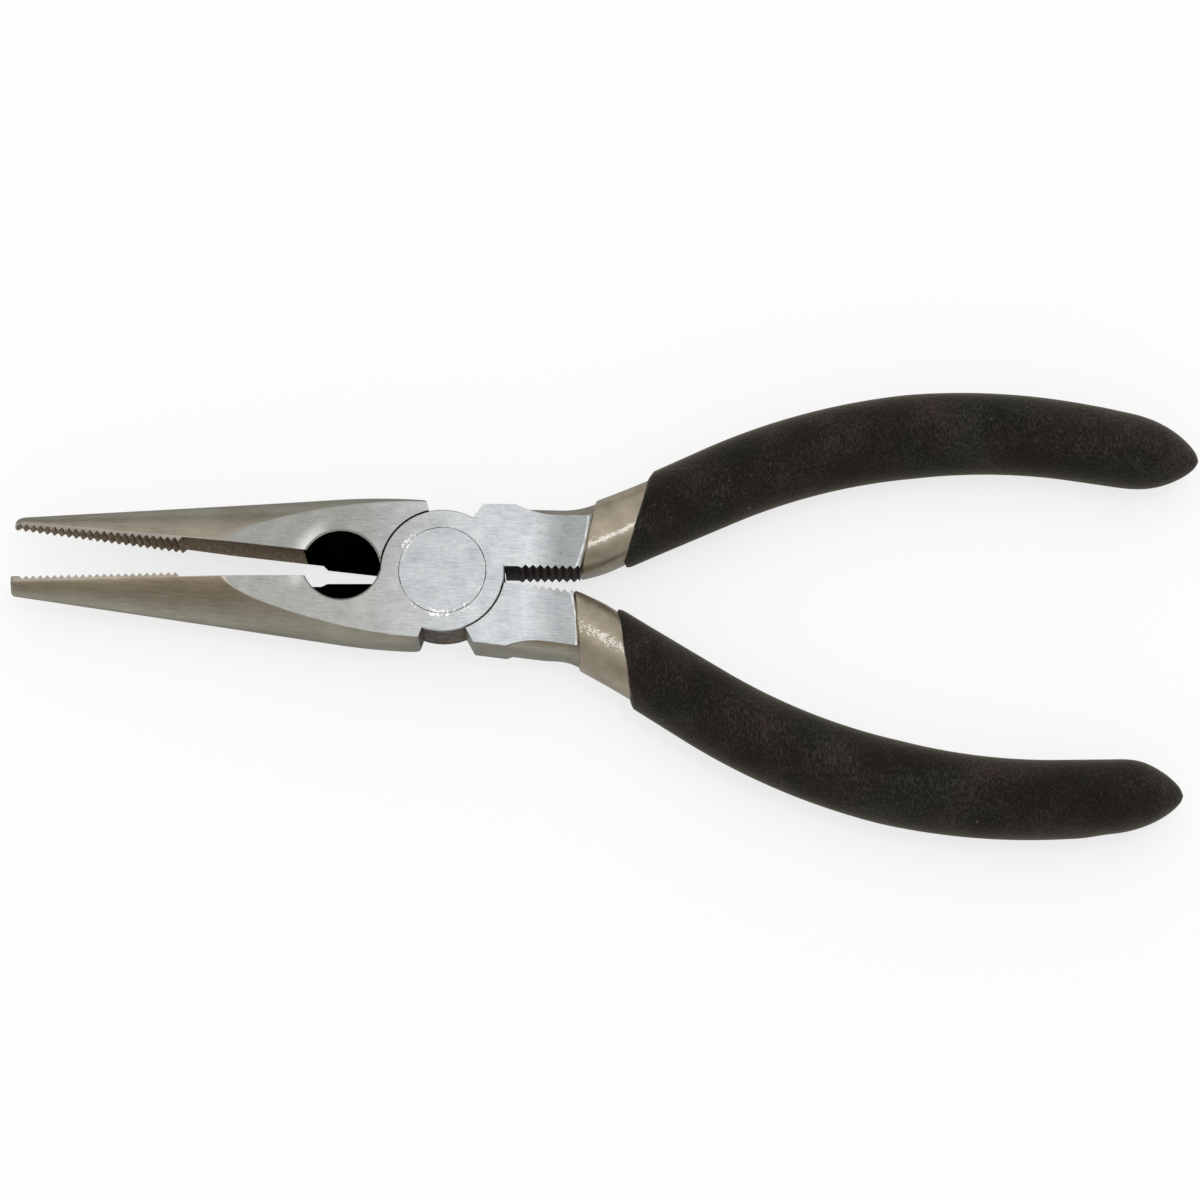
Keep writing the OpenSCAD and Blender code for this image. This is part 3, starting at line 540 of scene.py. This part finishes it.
def loft(name, rings, finish=PLATED, materials=STEEL):
    """Skins rings of the same number of places, and closes both ends; finish may go by ring and place."""
    n, pick = len(rings[0]), finish if callable(finish) else lambda ring, place: finish
    faces = [(k * n + i, k * n + (i + 1) % n, (k + 1) * n + (i + 1) % n, (k + 1) * n + i)
             for k in range(len(rings) - 1) for i in range(n)]
    last = (len(rings) - 1) * n
    faces += [tuple(range(n)), tuple(last + i for i in range(n))]
    finishes = [pick(k, i) for k in range(len(rings) - 1) for i in range(n)]
    finishes += [pick(0, 0), pick(len(rings) - 2, 0)]
    return solid(name, [p for ring in rings for p in ring], faces, finishes, materials)


def prism(name, outline, low, high, sides, cap):
    """A plan outline pulled up from low to high, with one finish on its sides or a list of them."""
    n = len(outline)
    places = [(x, y, low) for x, y in outline] + [(x, y, high) for x, y in outline]
    faces = [(i, (i + 1) % n, n + (i + 1) % n, n + i) for i in range(n)]
    faces += [tuple(range(n)), tuple(range(n, 2 * n))]
    return solid(name, places, faces, (sides if isinstance(sides, list) else [sides] * n) + [cap, cap])


def turned(name, profile, finish, centre=(0.0, 0.0), steps=TURNED_STEPS):
    """A profile of radius and height turned round the rivet's direction."""
    angles = [2 * math.pi * i / steps for i in range(steps)]
    rings = [[(centre[0] + r * math.cos(a), centre[1] + r * math.sin(a), z) for a in angles]
             for r, z in profile]
    return loft(name, rings, finish)


def carve(piece, tool, how):
    """Joins, cuts or trims a piece with a tool, and throws the tool away."""
    step = piece.modifiers.new("carve", "BOOLEAN")
    step.operation = how
    step.solver = "EXACT"
    step.object = tool
    done = bpy.data.meshes.new_from_object(piece.evaluated_get(bpy.context.evaluated_depsgraph_get()))
    piece.modifiers.clear()
    piece.data = done
    bpy.data.objects.remove(tool)


def lie(piece, which):
    """Turns a shut half, or what is on it, as the tool lies: 1 is the front half and -1 the back half."""
    place = Matrix.Scale(MM, 4) @ Matrix.Translation((0, 0, HALF_T))
    place = place @ Matrix.Rotation(math.radians(which * REST_OPENING / 2), 4, "Z")
    if which < 0:
        place = place @ Matrix.Rotation(math.pi, 4, "X")
    piece.data.transform(place)


def weld(piece, reach):
    """Joins places that the cuts left within reach; drops faces without area and places on straight edges."""
    shape = bmesh.new()
    shape.from_mesh(piece.data)
    bmesh.ops.remove_doubles(shape, verts=shape.verts, dist=reach)
    bmesh.ops.dissolve_degenerate(shape, edges=shape.edges, dist=reach)
    midway = [v for v in shape.verts if len(v.link_edges) == 2 and v.calc_edge_angle(1.0) < STRAIGHT]
    bmesh.ops.dissolve_verts(shape, verts=midway)
    shape.to_mesh(piece.data)
    shape.free()


def shade(piece, limit):
    """Smooth faces, with a crisp edge where the finish changes or the turn is more than limit degrees."""
    shape = bmesh.new()
    shape.from_mesh(piece.data)
    for face in shape.faces:
        face.smooth = True
    for edge in shape.edges:
        if len(edge.link_faces) == 2:
            first, second = edge.link_faces
            edge.smooth = (first.material_index == second.material_index
                           and edge.calc_face_angle(0.0) < math.radians(limit))
    shape.to_mesh(piece.data)
    shape.free()


# The forged halves

def round_jaw(name, tip, rounding):
    """The round tapering jaw, with its inner edges rolled over a little, rubbed and painted lighter as a
    highlight.
    """
    ds = [JAW_LEN - rounding * u for u in TIP_SHARES]
    ds += [(JAW_LEN - rounding) * (1 - k / JAW_STEPS) for k in range(JAW_STEPS + 1)]
    rings = []
    for d in ds:
        depth, t = jaw_depth(d, tip) * tip_share(d, rounding), jaw_half_t(d) * tip_share(d, rounding)
        roll = min(EDGE_ROLL_W, depth / 2)
        start = math.asin(roll / depth)
        edge = [(roll * (1 - math.cos(a)), t * math.cos(start) - EDGE_ROLL_T * (1 - math.sin(a)))
                for a in map(math.radians, ROLL_TURNS)]
        arc = [start + (math.pi - 2 * start) * i / ROUND_STEPS for i in range(ROUND_STEPS + 1)]
        outline = edge + [(depth * math.sin(a), t * math.cos(a)) for a in arc]
        outline += [(y, -z) for y, z in reversed(edge)]
        rings.append([(-d, -y, z) for y, z in outline])
    first, last = len(edge) - 1, len(outline) - len(edge)
    return loft(name, rings, lambda ring, place: PLATED if first <= place < last else RUBBED_HIGHLIT)


def forged_half(name, which, tip, rounding, tooth_start, lean_set, lead, bulge):
    """One half of the tool in one solid: the jaw, the lap, the cheek and the tang, with all their cuts."""
    tall = HALF_T + 2 * OVER

    # The jaw, ended at its stop face with a rounded outer corner
    jaw = round_jaw(name, tip, rounding)
    lean = bearing(JAW_STOP_LEAN)
    stop = -SHOULDER_R * bearing(JAW_STOP)
    inner = stop + LAP_R / 3 * lean
    run = (JAW_ROOT - JAW_CORNER_INSET + stop.y - JAW_CORNER_R * (1 - lean.x)) / lean.y
    middle = stop - run * lean + JAW_CORNER_R * Vector((-lean.y, lean.x))
    turns = [JAW_STOP_LEAN + (JAW_CORNER_END - JAW_STOP_LEAN) * k / CORNER_STEPS
             for k in range(CORNER_STEPS + 1)]
    corner = [middle + JAW_CORNER_R * Vector((math.cos(a), -math.sin(a))) for a in map(math.radians, turns)]
    drop = JAW_ROOT + OVER + corner[-1].y
    outer = corner[-1] - drop * Vector((math.tan(math.radians(JAW_CORNER_END)), 1))
    plan = [(-JAW_LEN - OVER, OVER), (-OVER, OVER), (-OVER, -LAP_R / 2), inner] + corner
    plan += [outer, (-JAW_LEN - OVER, -JAW_ROOT - OVER)]
    sides = [PLATED] * 3 + [SCALE] + [PLATED] * (len(plan) - 4)
    carve(jaw, prism("plan", plan, -tall, tall, sides, GROUND), "INTERSECT")

    # Teeth, the plain stretch behind them and the blade's land
    first, count = -JAW_LEN + tooth_start, round((TOOTH_END - tooth_start) / TOOTH_PITCH)
    cut = [(-JAW_LEN - OVER, OVER), (-JAW_LEN - OVER, SHUT_Y)]
    for i in range(count):
        cut += [(first + i * TOOTH_PITCH, SHUT_Y), (first + (i + 0.5) * TOOTH_PITCH, SHUT_Y - TOOTH_DEPTH)]
    plain, plain_y = first + count * TOOTH_PITCH, SHUT_Y - PLAIN_RELIEF
    # The cutter's near-black painted shade covers the blade's land and starts a little before the recess
    mouth = -BLACK_LEAD - RECESS_X - math.sqrt(RECESS_R ** 2 - (RECESS_OFFSET - plain_y) ** 2)
    cut += [(plain, SHUT_Y), (plain + TOOTH_PITCH / 2, plain_y), (mouth, plain_y)]
    sides = [INNER] * (len(cut) - 1)
    cut += [(-BLADE_START, plain_y), (-BLADE_START + BLADE_RISE, SHUT_Y), (0, SHUT_Y), (0, OVER)]
    sides += [BLACK] * (len(cut) - len(sides))
    carve(jaw, prism("teeth", cut, -tall, tall, sides, INNER), "DIFFERENCE")

    # The cutter's round recess, with its blade left standing along the back of the tool
    centre = (-RECESS_X, RECESS_OFFSET)
    wall = [(RECESS_R, -tall), (RECESS_R, HALF_T - RECESS_RIM), (RECESS_R + RECESS_RIM + 2 * OVER, tall)]
    wall = [(r, which * z) for r, z in wall]
    # The rim's chamfer takes the rubbed steel's painted highlight, the wall below it the near-black painted
    # shade
    recess = turned("recess", wall, lambda ring, place: RUBBED_HIGHLIT if ring else BLACK, centre)
    edge, deep, run = HALF_T - EDGE_Z, JAW_ROOT, RECESS_X + RECESS_R + OVER
    section = [(SHUT_Y, -edge), (SHUT_Y - BLADE_BACK, -tall - OVER), (-deep, -tall - OVER),
               (-deep, -edge + (deep + SHUT_Y) / math.tan(math.radians(BLADE_ANGLE)))]
    blade = loft("blade", [[(x, y, which * z) for y, z in section] for x in (-run, 0.0)], BLACK)
    carve(recess, blade, "DIFFERENCE")
    carve(jaw, recess, "DIFFERENCE")

    # The cheek with its hollow neck, and the shank and tang that leave it
    def coat_edge(y):
        return COAT_START - lead + (y - NECK_Y) * math.tan(math.radians(COAT_SLANT))
    lean = bearing(HANDLE_STOP_LEAN)
    stop = SHOULDER_R * bearing(HANDLE_STOP)
    outer = stop + (CHEEK_Y - stop.y) / lean.y * lean
    inner = stop - LAP_R / 3 * lean
    steep = math.acos(1 - (CHEEK_Y - NECK_LOW) / NECK_HOLLOW_R)
    hollow = [(NECK_X - NECK_HOLLOW_R * math.sin(a), NECK_LOW + NECK_HOLLOW_R * (1 - math.cos(a)))
              for a in (steep * (1 - i / HOLLOW_STEPS) for i in range(HOLLOW_STEPS + 1))]
    hollow.append((coat_edge(NECK_LOW), NECK_LOW))
    plan = [(OVER, LAP_R / 2), inner, outer] + hollow
    plan += [(coat_edge(CRIMP_GAP), CRIMP_GAP), (OVER, CRIMP_GAP)]
    cheek = prism("cheek", plan, -tall, tall, PLATED, GROUND)
    tang = []
    for s in (S_TANG * k / TANG_STEPS for k in range(TANG_STEPS + 1)):
        ovals = [oval(2 * math.pi * i / TANG_SIDES, tang_fullness(s, bulge)) for i in range(TANG_SIDES)]
        tang.append([on_handle(s, tang_half_w(s, bulge) * c, tang_half_t(s) * u) for c, u in ovals])
    carve(cheek, loft("tang", tang), "UNION")
    fall = COAT_START - lead - DISH_START
    turn = Matrix.Rotation(math.radians(-COAT_SLANT), 4, "Z")
    turn = Matrix.Translation((COAT_START - lead, NECK_Y, 0)) @ turn
    for up in (1, -1):
        low = HALF_T - DISH_DEPTH
        section = [(-fall, HALF_T), (0, low), (OVER, low), (OVER, tall + OVER), (-fall, tall + OVER)]
        dish = loft("dish", [[(x, y, up * z) for x, z in section] for y in (-DISH_REACH, DISH_REACH)], GROUND)
        dish.data.transform(turn)
        carve(cheek, dish, "DIFFERENCE")
    level = CRIMP_GAP + CRIMP_DEPTH / 2
    cut = [(0, -OVER), (0, level), (CRIMP_START - CRIMP_PITCH / 2, level)]
    for i in range(CRIMP_COUNT):
        x = CRIMP_START + i * CRIMP_PITCH
        cut += [(x, CRIMP_GAP), (x + CRIMP_PITCH / 2, CRIMP_GAP + CRIMP_DEPTH)]
    end = CRIMP_START + CRIMP_COUNT * CRIMP_PITCH
    cut += [(end, CRIMP_GAP), (end, -OVER)]
    # The crimping teeth take the dark scale, darkened partly as painted shade
    carve(cheek, prism("crimp", cut, -tall, tall, DARK, DARK), "DIFFERENCE")
    cheek.data.transform(Matrix.Rotation(math.radians(lean_set), 4, "Z"))

    # Both joined by the lap, drilled for the rivet and ground flat
    carve(jaw, cheek, "UNION")
    well_r = SHOULDER_R - SEAM_CLOSE
    well = [(well_r + WELL_BREAK + tall, -HALF_T - tall), (well_r, WELL_BREAK - HALF_T),
            (well_r, LAP_GAP / 2 + WELL_UNDER)]
    carve(jaw, turned("shoulder", well, SCALE), "DIFFERENCE")
    rim = LAP_R - LAP_BREAK
    lap = [(LAP_R, LAP_GAP / 2), (LAP_R, HALF_T - LAP_BREAK), (rim, HALF_T), (rim, tall - OVER / 2)]
    carve(jaw, turned("lap", lap, lambda ring, place: GROUND if ring else SCALE), "UNION")
    bore = RIVET_R + RIVET_FIT
    hole = [(bore, -OVER), (bore, HALF_T - RIVET_HEAD_H)]
    hole.append((RIVET_HEAD_R + RIVET_FIT + 3 * OVER * HEAD_SLOPE, HALF_T + 3 * OVER))
    carve(jaw, turned("hole", hole, PLATED), "DIFFERENCE")
    around = [(-100, -60), (150, -60), (150, 60), (-100, 60)]
    carve(jaw, prism("ground", around, -HALF_T, HALF_T, GROUND, GROUND), "INTERSECT")

    weld(jaw, WELD_REACH)
    lie(jaw, which)
    shade(jaw, STEEL_CRISP)
    return jaw


# The dips on the handles

def dip_line(place, slant, half_w, c):
    """How far along the handle a dip line through place is crossed, at the share c of the half width."""
    toward = Vector((math.cos(math.radians(-slant)), math.sin(math.radians(-slant))))
    low, high = 0.0, DIP_SEARCH
    for halving in range(HALVINGS):
        s = (low + high) / 2
        at = Vector(on_handle(s, half_w(s) * c, 0)[:2])
        low, high = (s, high) if (at - place).dot(toward) < 0 else (low, s)
    return s


def skewed_ring(beyond, place, slant, half_w, half_t, fullness, ripple, swell=lambda s, c: 1.0):
    """A ring that starts on a slanted dip line through place, and is square to the handle further on."""
    ring, middle, crossed = [], dip_line(place, slant, half_w, 0.0), {}
    fade = max(0.0, 1 - beyond / SKEW_FADE) ** 2
    for turn in (2 * math.pi * i / DIP_SIDES for i in range(DIP_SIDES)):
        c = round(oval(turn, fullness(middle))[0], 6)
        if fade and c not in crossed:
            crossed[c] = dip_line(place, slant, half_w, c)
        broad = noise.noise(Vector((2 * math.cos(turn), 2 * math.sin(turn), place.x)))
        fine = noise.noise(Vector((7 * math.cos(turn), 7 * math.sin(turn), 3 + place.x)))
        run = ripple * fade ** 6 * (3 * broad + fine + 1.5)
        s = middle + beyond + fade * (crossed.get(c, middle) - middle) + run
        c, u = oval(turn, fullness(s))
        ring.append(on_handle(s, half_w(s) * c * swell(s, c), half_t(s) * u))
    return ring


def dipped(name, which, lean_set, place, slant, end_in, outs, inside, outside, lip, ripple, material,
           **shaped):
    """A closed skin: along its inside to the dip line, round the lip there and back along its outside."""
    middle = dip_line(place, slant, inside[0], 0.0)

    def between(share):
        return [lambda s, low=low, high=high: low(s) + (high(s) - low(s)) * share
                for low, high in zip(inside, outside)]
    rings = [skewed_ring((end_in - middle) * k / DIP_STEPS, place, slant, *inside, ripple)
             for k in range(DIP_STEPS, 0, -1)]
    for a in (math.pi / 2 * k / LIP_STEPS for k in range(LIP_STEPS + 1)):
        rings.append(skewed_ring(lip * (1 - math.cos(a)), place, slant, *between(math.sin(a)), ripple))
    rings += [skewed_ring(s - middle, place, slant, *outside, ripple, **shaped) for s in outs]
    piece = loft(name, rings, 0, [material])
    piece.data.transform(Matrix.Rotation(math.radians(lean_set), 4, "Z"))
    lie(piece, which)
    shade(piece, DIP_CRISP)
    return piece


def grown(extra, bulge):
    """The tang's half width, half thickness and fullness, with extra on all sides."""
    return (lambda s: tang_half_w(s, bulge) + extra, lambda s: tang_half_t(s) + extra,
            lambda s: tang_fullness(s, bulge))


def undercoat(name, which, lean_set, lead, bulge):
    """The thin first dip on a shank."""
    start, end = S_COAT - lead + 2 * COAT_LIP, S_TANG + COAT_T
    place = Vector((COAT_START - lead + COAT_FIT, NECK_Y))
    return dipped(name, which, lean_set, place, COAT_SLANT, S_TANG + COAT_FIT,
                  [start + (end - start) * k / COAT_STEPS for k in range(COAT_STEPS + 1)],
                  grown(COAT_FIT, bulge), grown(COAT_FIT + COAT_T, bulge), COAT_LIP, COAT_RIPPLE, PRIMER)


def foam_grip(name, which, lean_set, lead, bulge, skew):
    """The thick foam over the first dip, with a nose that is lopsided by skew."""
    def lopsided(s, c):
        """How much fuller the nose is towards the inside of the tool, or slimmer towards its outside."""
        left = S_TIP - s
        if c > 0:
            return 1 - NOSE_SLIM * skew * eased((SLIM_START - left) / SLIM_RUN)
        return 1 + NOSE_FULL * skew * eased((FULL_START - left) / FULL_RUN)
    start, nose = LIP_S - lead + 1.2 * FOAM_LIP, S_TIP - NOSE_LEN
    outs = [start + (nose - start) * k / FOAM_STEPS for k in range(FOAM_STEPS)]
    outs += [S_TIP - NOSE_LEN * (1 - k / NOSE_STEPS) ** 2 for k in range(NOSE_STEPS)]
    skin = COAT_FIT + COAT_T + GRIP_FIT
    outside = grip_half_w, grip_half_t, lambda s: GRIP_FULLNESS
    return dipped(name, which, lean_set, handle_point(LIP_S - lead), LIP_SLANT, S_TANG + skin, outs,
                  grown(skin, bulge), outside, FOAM_LIP, FOAM_RIPPLE, VINYL, swell=lopsided)


def flush_rivet(name):
    """The rivet, peened out into its countersinks and ground off, so that its rim shows unevenly."""
    angles, rings = [2 * math.pi * i / RIVET_STEPS for i in range(RIVET_STEPS)], []
    for up in (-1, 1):
        head = []
        for r, z in ((RIVET_R, HALF_T - RIVET_HEAD_H), (LAND_R, HALF_T - RIVET_LAND)):
            head.append([(r * math.cos(a), r * math.sin(a), up * z) for a in angles])
        rim = []
        for a in angles:
            broad = noise.noise(Vector((2.2 * math.cos(a), 2.2 * math.sin(a), 1.7 * up)))
            fine = noise.noise(Vector((9 * math.cos(a), 9 * math.sin(a), 4.0)))
            r = LAND_R + RIM_LEAST + RIM_PEENED * min(1.0, max(0.0, 0.5 + broad + 0.6 * fine))
            rim.append((r * math.cos(a), r * math.sin(a), up * HALF_T))
        head.append(rim)
        rings += head if up > 0 else head[::-1]
    piece = loft(name, rings, 0, [RIVET_STEEL])
    piece.data.transform(Matrix.Scale(MM, 4) @ Matrix.Translation((0, 0, HALF_T)))
    shade(piece, STEEL_CRISP)
    return piece


SIDES = ((1, "front", FRONT_TIP, FRONT_TIP_ROUND, FRONT_TOOTH_START, FRONT_SET, 0.0,
          FRONT_NECK_BULGE, FRONT_NOSE_SKEW),
         (-1, "back", BACK_TIP, BACK_TIP_ROUND, BACK_TOOTH_START, BACK_SET, BACK_DIP_LEAD,
          BACK_NECK_BULGE, BACK_NOSE_SKEW))
for which, side, tip, rounding, tooth_start, lean_set, lead, bulge, skew in SIDES:
    forging = forged_half(side + "_forging", which, tip, rounding, tooth_start, lean_set, lead, bulge)
    primer_coat = undercoat(side + "_primer_coat", which, lean_set, lead, bulge)
    grip = foam_grip(side + "_foam_grip", which, lean_set, lead, bulge, skew)
    for piece, node, slot in ((forging, side + "_half", "forged_steel"),
                              (primer_coat, side + "_undercoat", "undercoat"),
                              (grip, side + "_grip", "grip_foam")):
        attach(piece, side)
        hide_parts(node)
rivet = flush_rivet("flush_rivet")
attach(rivet, "back")
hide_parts("pivot_rivet")


# Floor, light and camera; the floor and the lamps are placed in metres

FLOOR_HALF, FLOOR_DROP = 3, 0.0002
FRAME_PX, SENSOR_MM = 1200, 36


def paper_floor():
    """White seamless paper, which keeps the tool's soft shadow."""
    made, tree = new_material("white_seamless_paper")
    path = add(tree, "LightPath")
    seen = add(tree, "Math", {0: path.outputs["Is Camera Ray"], 1: path.outputs["Is Glossy Ray"]},
               operation="MAXIMUM")
    seen = add(tree, "Math", {0: seen, 1: path.outputs["Is Transmission Ray"]}, operation="MAXIMUM")
    lift = add(tree, "Math", {0: seen, 1: 0.72}, operation="MULTIPLY")
    tone = add(tree, "Mix", {"Factor": seen, "A": linear("#c4c4c4"), "B": linear("#959595")},
               data_type="RGBA")
    paper = add(tree, "BsdfDiffuse", {"Color": tone})
    white = add(tree, "Emission", {"Color": (1, 1, 1, 1), "Strength": lift})
    both = add(tree, "AddShader", {0: paper, 1: white})
    add(tree, "OutputMaterial", {"Surface": both})
    return made


def softbox(name, place, aim, wide, tall, glow):
    """A rectangular lamp turned to aim, whose face glows as brightly at any size."""
    lamp = bpy.data.lights.new(name, "AREA")
    lamp.shape = "RECTANGLE"
    lamp.size, lamp.size_y = wide, tall
    lamp.energy = glow * wide * tall * math.pi
    made = bpy.data.objects.new(name, lamp)
    made.location = place
    made.rotation_euler = (Vector(aim) - Vector(place)).to_track_quat("-Z", "Y").to_euler()
    bpy.context.scene.collection.objects.link(made)


floor = bpy.data.meshes.new("floor")
corners = [(-FLOOR_HALF, -FLOOR_HALF, 0), (FLOOR_HALF, -FLOOR_HALF, 0), (FLOOR_HALF, FLOOR_HALF, 0),
           (-FLOOR_HALF, FLOOR_HALF, 0)]
floor.from_pydata(corners, [], [(0, 1, 2, 3)])
floor.materials.append(paper_floor())
floor_piece = bpy.data.objects.new("floor", floor)
floor_piece.location.z = -FLOOR_DROP
bpy.context.scene.collection.objects.link(floor_piece)

softbox("overhead_softbox", place=(0.0, 0.55, 0.85), aim=(0.0, 0.0, 0.0), wide=1.7, tall=1.5, glow=0.5)
softbox("small_key", place=(0.2, 0.1, 0.97), aim=(0.02, 0, 0), wide=0.14, tall=0.14, glow=11.0)

world = bpy.data.worlds.new("studio")
bpy.context.scene.world = world
world.use_nodes = True
tree = world.node_tree
tree.nodes.clear()
# The far side of the room is darker low down, and the near side is darker high up
toward = add(tree, "SeparateXYZ", {"Vector": add(tree, "TexCoord").outputs["Generated"]})
far = add(tree, "MapRange", {"Value": toward.outputs["Z"], "To Min": 0.42, "To Max": 0.74})
near = add(tree, "MapRange", {"Value": toward.outputs["Z"], "From Min": 0.35, "From Max": 0.85,
                              "To Min": 0.8, "To Max": 0.5})
nearness = add(tree, "MapRange", {"Value": toward.outputs["Y"], "From Min": 0.0, "From Max": -0.35})
strength = add(tree, "Mix", {"Factor": nearness, "A": far, "B": near}, data_type="FLOAT")
room = add(tree, "Background", {"Color": (1, 1, 1, 1), "Strength": strength})
add(tree, "OutputWorld", {"Surface": room})

# The camera looks down from the near side, 11.5 degrees off the rivet's axis, with the tool turned
# 3.25 degrees in the frame. The rivet's place in the 1200 pixel frame and the scale there set the rest.
tilt, roll, away = math.radians(11.5), math.radians(3.25), 660.0
scale, rivet_u, rivet_v = 7.17, 443.4, 577.4
right = Vector((math.cos(roll), math.sin(roll), 0))
up = Vector((-math.sin(roll) * math.cos(tilt), math.cos(roll) * math.cos(tilt), math.sin(tilt)))
back = Vector((math.sin(roll) * math.sin(tilt), -math.cos(roll) * math.sin(tilt), math.cos(tilt)))
eye = Vector((0, 0, HALF_T)) + right * (FRAME_PX / 2 - rivet_u) / scale
eye = eye - up * (FRAME_PX / 2 - rivet_v) / scale + back * away
lens = bpy.data.cameras.new("camera")
lens.sensor_width = SENSOR_MM
lens.lens = SENSOR_MM * scale * away / FRAME_PX
lens.clip_start = 0.01
camera = bpy.data.objects.new("camera", lens)
camera.matrix_world = Matrix.Translation(eye * MM) @ Matrix((right, up, back)).transposed().to_4x4()
bpy.context.scene.collection.objects.link(camera)
bpy.context.scene.camera = camera
bpy.context.scene.view_settings.view_transform = "Standard"
